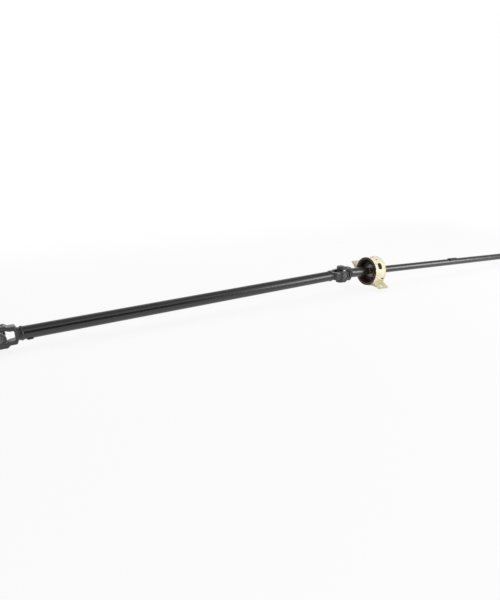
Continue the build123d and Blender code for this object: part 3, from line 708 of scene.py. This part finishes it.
def bare_steel_finish(
    name, colour, dark, roughness, direction=None, pitch=0.25 * mm, depth=0.012 * mm,
):
    """Bare steel with cloudy stains, and tool marks across a direction where it is machined."""
    finish = Finish(bpy.data.materials.new(name))
    stain = finish.noise(9 * mm, 5, 0.65)
    grain = finish.noise(0.6 * mm, 3, 0.6)
    marks = grain if direction is None else finish.tool_marks(finish.along(direction), pitch)
    shade = finish.mix(stain.above(0.45, 0.75) * 0.8, colour, dark)
    gloss = roughness + stain.above(0.4, 0.8) * 0.16 + marks * 0.08
    return finish.surface(shade, gloss, finish.bump(marks, depth, 0.7), 1.0)


cross_steel = bare_steel_finish(
    "cross_steel", colour=(0.36, 0.36, 0.365, 1), dark=(0.10, 0.095, 0.09, 1),
    roughness=0.30, depth=0.06 * mm,
)
roller_steel = bare_steel_finish(
    "roller_steel", colour=(0.58, 0.58, 0.59, 1), dark=(0.40, 0.39, 0.38, 1),
    roughness=0.16,
)
zinc_plate = bare_steel_finish(
    "zinc_plate", colour=(0.62, 0.63, 0.64, 1), dark=(0.40, 0.41, 0.42, 1),
    roughness=0.24,
)
for joint, body, centre, along in (
    ("rear_joint", "rear_cross", rear_centre, along_rear),
    ("centre_joint", "centre_cross", middle_centre, along_front),
    ("front_joint", "front_cross", front_centre, along_front),
):
    cross = rounded_copy("journal_" + joint, joint + "_cross", body, cross_voxel, cross_passes)
    points = mesh_points(cross.data)
    ground = ((seal_seat, trunnion_chamfer, trunnion_radius),)
    for trunnion in (across, np.cross(along, across)):
        for end in (-1, 1):
            points = trued(points, centre, end * trunnion, ground, (trunnion_end,))
    set_points(cross, points)
    cross.data.materials.append(cross_steel)
    coat(roller_steel, joint + "_needle_rollers")
    coat(zinc_plate, joint + "_grease_nipple")

# ------------------------------------------------ the slip yoke's plug and dust cap
# A pressed plug closes the spline bore behind the joint. At the other end a
# rolled steel cap, painted black, holds a wiper in the sleeve: one surface here.
plug_paint = patchy_paint("plug_paint", patch=5 * mm, bare=0.0, roughness=0.42)
coat(plug_paint, "slip_yoke_plug")
corner_rows = 7
cap_turn_in = 1.6
wiper_radius = 14.9


def rounded_outline(*corners):
    """Outline of (place, radius) with each corner rounded by its own length, all in mm.

    Each corner is a quadratic curve between the points that lie that length from
    it on its two sides: (1 - t)^2 * before + 2 t (1 - t) * corner + t^2 * after.
    """
    spots = np.array([corner[:2] for corner in corners], float) * mm
    lengths = np.array([corner[2] for corner in corners], float)[:, None] * mm
    to_last = np.roll(spots, 1, 0) - spots
    to_next = np.roll(spots, -1, 0) - spots
    before = spots + to_last * lengths / np.linalg.norm(to_last, axis=1)[:, None]
    after = spots + to_next * lengths / np.linalg.norm(to_next, axis=1)[:, None]
    t = np.linspace(0, 1, corner_rows)[None, :, None]
    curve = (1 - t) ** 2 * before[:, None]
    curve += 2 * t * (1 - t) * spots[:, None]
    curve += t**2 * after[:, None]
    return curve.reshape(-1, 2)


cap_start, cap_end, cap_bore, cap_radius = (
    size / mm for size in measured("slip_yoke_seal", middle_centre, along_front)
)
sleeve_end = cap_end - cap_turn_in
dust_cap = lathe(
    "sleeve_dust_cap",
    rounded_outline(
        (cap_start, cap_bore, 0.2),
        (cap_start, wiper_radius, 0.2),
        (sleeve_end + 0.02, wiper_radius, 0.1),
        (sleeve_end + 0.02, cap_radius, 0.2),
        (cap_end - 0.4, cap_radius, 0.6),
        (cap_end, cap_radius - 1.4, 0.6),
        (cap_end, cap_bore + 1.2, 0.3),
        (cap_end - 0.9, cap_bore + 0.5, 0.2),
        (cap_end - 1.2, cap_bore, 0.2),
    ),
    middle_centre, along_front, "slip_assembly",
)
cap_paint = patchy_paint("cap_paint", patch=4 * mm, bare=-0.02, roughness=0.34)
dust_cap.data.materials.append(cap_paint)
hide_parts("slip_yoke_seal")

# ------------------------------------------------------------------ the stub shaft
# Splined at the rear, ground where the bearing sits and welded to the front tube.
# The splines and journal are bare steel under brown grease.
filmed_steel = (0.27, 0.235, 0.205, 1)
brown_grease = (0.070, 0.046, 0.036, 1)


def greased_steel():
    """Turned steel under a brown film that gathers in patches and dulls it."""
    finish = Finish(bpy.data.materials.new("greased_steel"))
    film = finish.noise(11 * mm, 5, 0.6)
    marks = finish.tool_marks(finish.along(along_front), 0.3 * mm)
    thick = film.above(0.38, 0.66)
    colour = finish.mix(thick, filmed_steel, brown_grease)
    gloss = 0.26 + thick * 0.10 + marks * 0.06
    skin = finish.bump(marks * 0.3 + film, 0.05 * mm, 0.6)
    return finish.surface(colour, gloss, skin, 1.0 - thick * 0.75)


coat(greased_steel(), "stub_shaft")

# --------------------------------------------------------------- the ball bearing
# A sealed deep-groove bearing: ground rings, polished balls, a brass cage and a
# red-brown seal on each side. A pressed disc on each side throws water off it.
ring_steel = bare_steel_finish(
    "ring_steel", colour=(0.52, 0.51, 0.50, 1), dark=(0.25, 0.22, 0.20, 1),
    roughness=0.22, direction=along_front, pitch=0.2 * mm,
)
disc_steel = bare_steel_finish(
    "disc_steel", colour=(0.22, 0.19, 0.17, 1), dark=(0.09, 0.07, 0.06, 1),
    roughness=0.34, direction=along_front, pitch=0.5 * mm,
)
cage_brass = bare_steel_finish(
    "cage_brass", colour=(0.72, 0.53, 0.25, 1), dark=(0.42, 0.28, 0.12, 1),
    roughness=0.26,
)
red_seal = rubber_finish(
    "red_seal", colour=(0.085, 0.030, 0.022, 1), bloom=(0.120, 0.060, 0.050, 1),
    roughness=0.42,
)
coat(ring_steel, "bearing_inner_race", "bearing_outer_race")
coat(roller_steel, "bearing_balls")
coat(cage_brass, "bearing_cage")
coat(red_seal, "bearing_seal_rear", "bearing_seal_front")
coat(disc_steel, "dust_slinger_rear", "dust_slinger_front")

# ------------------------------------------------------ the carrier and its cushion
# A thin steel carrier holds the bearing with a spring ring, and the rubber cushion
# is moulded round it. The cushion's rear lip folds over the shell and the band.
carrier_steel = bare_steel_finish(
    "carrier_steel", colour=(0.12, 0.105, 0.10, 1), dark=(0.040, 0.033, 0.032, 1),
    roughness=0.30, direction=along_front, pitch=0.4 * mm,
)
coat(carrier_steel, "bearing_carrier", "carrier_snap_ring")
phosphate_black = (0.010, 0.007, 0.006, 1)
phosphate_brown = (0.022, 0.016, 0.013, 1)


def phosphate_finish():
    """Phosphated and oiled steel: brown-black, matt and finely crystalline."""
    finish = Finish(bpy.data.materials.new("shell_phosphate"))
    cloud = finish.noise(12 * mm, 4)
    grain = finish.noise(0.5 * mm, 3, 0.6)
    colour = finish.mix(cloud.above(0.4, 0.7), phosphate_black, phosphate_brown)
    skin = finish.bump(grain, 0.05 * mm, 0.5)
    return finish.surface(colour, 0.55 + cloud * 0.15, skin, 0.0, 0.2)


coat(phosphate_finish(), "cushion_shell")
carrier_start, carrier_end, _, _ = (
    size / mm for size in measured("bearing_carrier", middle_centre, along_front)
)
shell_start, _, shell_bore, shell_radius = (
    size / mm for size in measured("cushion_shell", middle_centre, along_front)
)
band_start, band_end, band_bore, _ = (
    size / mm for size in measured("bracket_band", middle_centre, along_front)
)
rubber_start, rubber_end, rubber_bore, rubber_radius = (
    size / mm for size in measured("rubber_cushion", middle_centre, along_front)
)
band_wall = 2.0
lip = 1.1
hub_radius = rubber_bore + 3.4
sleeve_bore = rubber_radius - 6.5
web_rear = carrier_start + 8.0
web_front = web_rear + 7.0
cushion = lathe(
    "moulded_cushion",
    rounded_outline(
        (band_start - lip, band_bore + band_wall + 0.1, 0.5),
        (band_start - lip, shell_bore - 0.6, 1.2),
        (rubber_start + 2.5, sleeve_bore, 2.5),
        (web_rear - 0.6, sleeve_bore - 1.0, 3.6),
        (web_rear, 40.0, 1.0),
        (web_rear - 2.6, 36.8, 1.4),
        (web_rear, 33.6, 1.2),
        (web_rear - 0.4, hub_radius + 1.0, 2.6),
        (carrier_start + 0.6, hub_radius, 0.9),
        (carrier_start + 0.3, rubber_bore, 0.2),
        (carrier_end, rubber_bore, 0.2),
        (carrier_end, hub_radius, 0.8),
        (web_front, hub_radius + 1.0, 1.0),
        (web_front, sleeve_bore - 1.0, 2.0),
        (rubber_end, sleeve_bore, 1.0),
        (rubber_end, rubber_radius, 0.2),
        (rubber_start, rubber_radius, 0.2),
        (rubber_start, shell_bore - 0.1, 0.2),
        (shell_start - 0.05, shell_bore - 0.1, 0.2),
        (shell_start - 0.05, shell_radius - 0.1, 0.2),
        (band_start - 0.05, shell_radius, 0.1),
        (band_start - 0.05, band_bore + band_wall + 0.1, 0.2),
    ),
    middle_centre, along_front, "centre_support", columns=200,
)
cushion_rubber = rubber_finish(
    "cushion_rubber", colour=(0.036, 0.018, 0.017, 1), bloom=(0.125, 0.078, 0.075, 1),
    roughness=0.34, moulding=0.25 * mm,
)
cushion.data.materials.append(cushion_rubber)
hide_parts("rubber_cushion")

# ------------------------------------------------------------- the support bracket
# A rolled band with two pressed feet, zinc-plated and passivated pale yellow.
# The film is uneven, with faint green and pink tints and small stains. It is rubbed
# thin along the edges and more tarnished on the feet. Faces below get a painted olive shade.
band_voxel = 0.95 * mm
foot_voxel = 0.75 * mm
sheet_passes = 3
band_rear_edge = 0.8
band_front_edge = 4.0
rolled_reach = 0.5 * mm
zinc_yellow = (0.85, 0.76, 0.48, 1)
zinc_pale = (0.89, 0.84, 0.66, 1)
zinc_green = (0.70, 0.74, 0.48, 1)
zinc_pink = (0.86, 0.70, 0.58, 1)
zinc_olive = (0.42, 0.36, 0.19, 1)


def passivated_zinc(name, tarnish):
    """Pale yellow film over zinc: soft clouds of tint, small stains, a share of tarnish and
    painted shade below.
    """
    finish = Finish(bpy.data.materials.new(name))
    cloud = finish.noise(26 * mm, 3, 0.5)
    tint = finish.noise(17 * mm, 2, 0.5, stretch=(1, 1, 1.6))
    spots = finish.noise(2.6 * mm, 5, 0.65)
    worn = finish.node("Attribute", {"attribute_name": "wear"}, out="Fac")
    colour = finish.mix(cloud.above(0.38, 0.62), zinc_yellow, zinc_pale)
    colour = finish.mix(tint.above(0.55, 0.75) * 0.7, colour, zinc_green)
    colour = finish.mix(tint.above(0.45, 0.25) * 0.6, colour, zinc_pink)
    colour = finish.mix(spots.above(0.62, 0.78) * 0.45, colour, zinc_olive)
    # Painted shade: faces that look down are turned olive, for the shade under the band.
    colour = finish.mix(facing_up(finish).above(-0.35, -0.9) * 0.55, colour, zinc_olive)
    if tarnish:
        colour = finish.mix(tarnish * (0.6 + tint * 0.8), colour, zinc_olive)
    gloss = 0.34 + spots * 0.12 + cloud * 0.08
    skin = finish.bump(spots * 0.5 + cloud * 0.5, 0.06 * mm, 0.5)
    return finish.surface(colour, gloss, skin, worn.above(0.3, 1.0) * 0.5)


band_zinc = passivated_zinc("band_zinc", tarnish=0.0)
foot_zinc = passivated_zinc("foot_zinc", tarnish=0.45)
band = rounded_copy("rolled_band", "bracket_band", "centre_support", band_voxel, sheet_passes)
rolled = tuple(
    ((band_start + band_rear_edge) * mm, (band_end - band_front_edge) * mm, radius * mm)
    for radius in (band_bore, band_bore + band_wall)
)
band_points = mesh_points(band.data)
set_points(band, trued(band_points, middle_centre, along_front, rolled, (), rolled_reach))
plated = [(band, band_zinc)]
for node in ("mounting_foot_near", "mounting_foot_far"):
    foot = rounded_copy("pressed_" + node, node, "centre_support", foot_voxel, sheet_passes)
    plated.append((foot, foot_zinc))
for piece, plating in plated:
    mark_wear(piece)
    piece.data.materials.append(plating)
